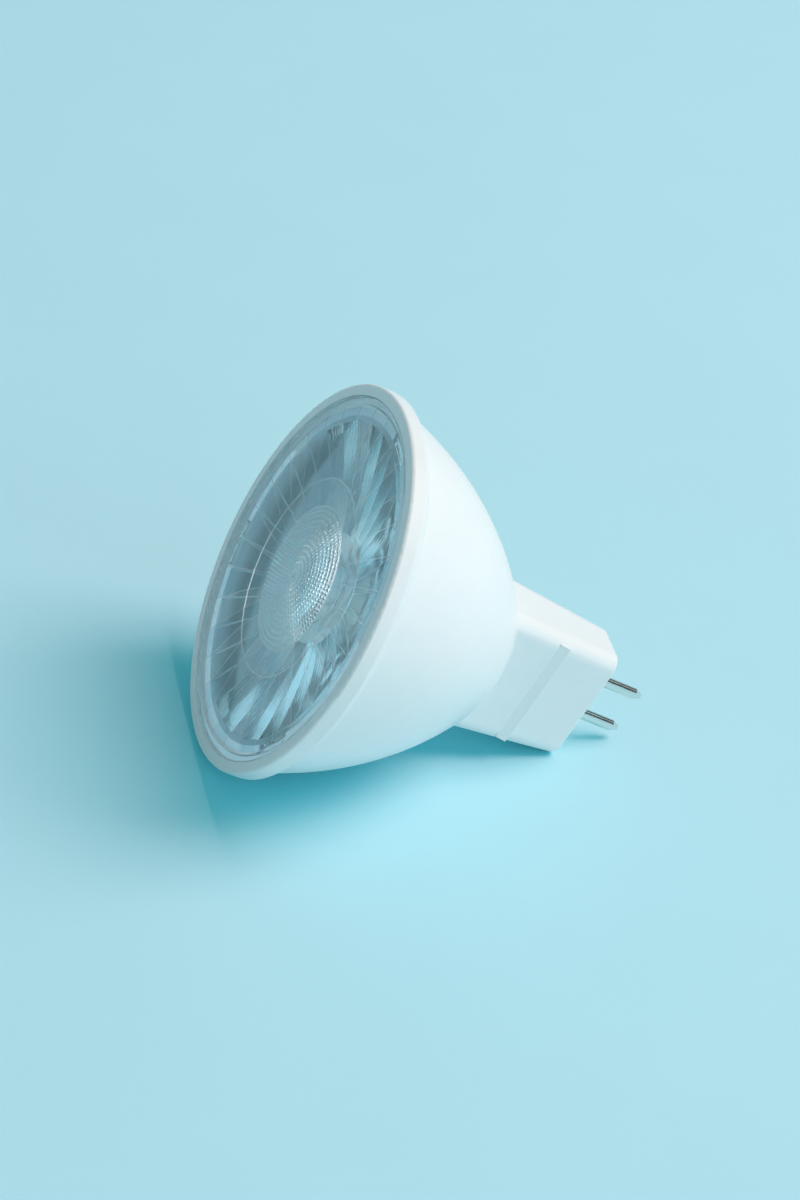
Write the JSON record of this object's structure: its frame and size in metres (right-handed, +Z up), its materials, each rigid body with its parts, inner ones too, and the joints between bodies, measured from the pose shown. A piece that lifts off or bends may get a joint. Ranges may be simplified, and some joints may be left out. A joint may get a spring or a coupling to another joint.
{
  "type": "led spotlight bulb",
  "caption": "Reflector spotlight bulb with a white bowl body, clear faceted front lens and a flat neck ending in contact pins; it plugs into a low-voltage lamp holder.",
  "frame": {"origin": "on the floor under the middle of the lying lamp's box", "axes": "+X along the floor from the lens towards the pins, +Z up, +Y across the neck's thin direction"},
  "size_m": [0.0566, 0.05, 0.0466],
  "materials": {
    "white_body": "satin white moulding",
    "clear_lens": "clear moulded optic",
    "pin_plating": "polished plating",
    "sink_metal": "drawn metal",
    "led_board_mask": "white solder mask",
    "pad_rubber": "soft grey pad",
    "emitter_ceramic": "fired ceramic",
    "dam_resin": "white resin",
    "phosphor": "yellow silicone",
    "screw_steel": "plated steel",
    "insulator_film": "dark film",
    "board_laminate": "green laminate",
    "lead_red": "soft sleeve",
    "lead_black": "soft sleeve",
    "can_sleeve": "shrunk sleeve",
    "ferrite": "sintered core",
    "copper_wire": "enamelled wire",
    "chip_resin": "moulded resin",
    "resistor_body": "glazed chip",
    "ceramic_chip": "fired ceramic",
    "solder": "bright solder"
  },
  "bodies": {
    "root": {"housing": "white_body", "lens": "clear_lens", "contact_pin_left": "pin_plating", "contact_pin_right": "pin_plating", "heat_sink": "sink_metal", "led_board": "led_board_mask", "thermal_pad": "pad_rubber", "led_emitter": "emitter_ceramic", "emitter_dam": "dam_resin", "emitter_phosphor": "phosphor", "board_screws": "screw_steel", "insulator_disc": "insulator_film", "driver_board": "board_laminate", "positive_lead": "lead_red", "negative_lead": "lead_black", "filter_capacitor": "can_sleeve", "inductor_core": "ferrite", "inductor_winding": "copper_wire", "driver_chip": "chip_resin", "rectifier_diodes": "chip_resin", "chip_resistors": "resistor_body", "chip_capacitors": "ceramic_chip", "pin_solder": "solder"}
  },
  "joints": []
}
